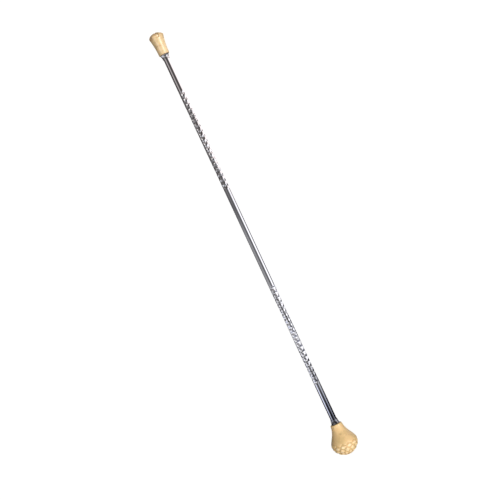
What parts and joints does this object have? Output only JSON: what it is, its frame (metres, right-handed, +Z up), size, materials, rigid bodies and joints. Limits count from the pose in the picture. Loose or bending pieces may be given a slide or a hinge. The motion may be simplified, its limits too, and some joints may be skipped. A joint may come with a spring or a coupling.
{
  "type": "twirling baton",
  "caption": "Chrome-plated tubular twirling baton with dimpled grips, a pear-shaped rubber ball at one end and a smaller flared rubber tip at the other.",
  "frame": {"origin": "on the shaft's axis, halfway between the two ends of the baton", "axes": "+X along the shaft towards the ball; +Z up when the baton lies on a table"},
  "size_m": [0.686, 0.0406, 0.0406],
  "materials": {
    "shaft_chrome": "chrome plate on steel, lightly scratched",
    "collar_chrome": "chrome plate, polished",
    "ball_rubber": "aged natural rubber, satin",
    "tip_rubber": "aged natural rubber, satin",
    "plug_steel": "turned mild steel",
    "weight_steel": "plain steel bar, oiled",
    "zinc_fastener": "zinc plated",
    "felt": "pressed wool felt"
  },
  "bodies": {
    "shaft": {"shaft_tube": "shaft_chrome", "ball_collar": "collar_chrome", "tip_collar": "collar_chrome", "ball_shaft_plug": "plug_steel", "tip_shaft_plug": "plug_steel", "ball_balance_weight": "weight_steel", "tip_balance_weight": "weight_steel", "ball_weight_screw": "zinc_fastener", "tip_weight_screw": "zinc_fastener", "ball_lock_washer": "zinc_fastener", "tip_lock_washer": "zinc_fastener", "ball_plug_pin": "zinc_fastener", "tip_plug_pin": "zinc_fastener", "ball_weight_damper": "felt", "tip_weight_damper": "felt"},
    "ball": {"ball_end": "ball_rubber", "ball_socket_disc": "plug_steel"},
    "tip": {"tip_end": "tip_rubber", "tip_socket_disc": "plug_steel"}
  },
  "joints": [
    {"name": "ball_pull_off", "type": "slide", "parent": "shaft", "child": "ball", "axis": [1, 0, 0], "range_m": [0, 0.034]},
    {"name": "tip_pull_off", "type": "slide", "parent": "shaft", "child": "tip", "axis": [-1, 0, 0], "range_m": [0, 0.028]}
  ]
}
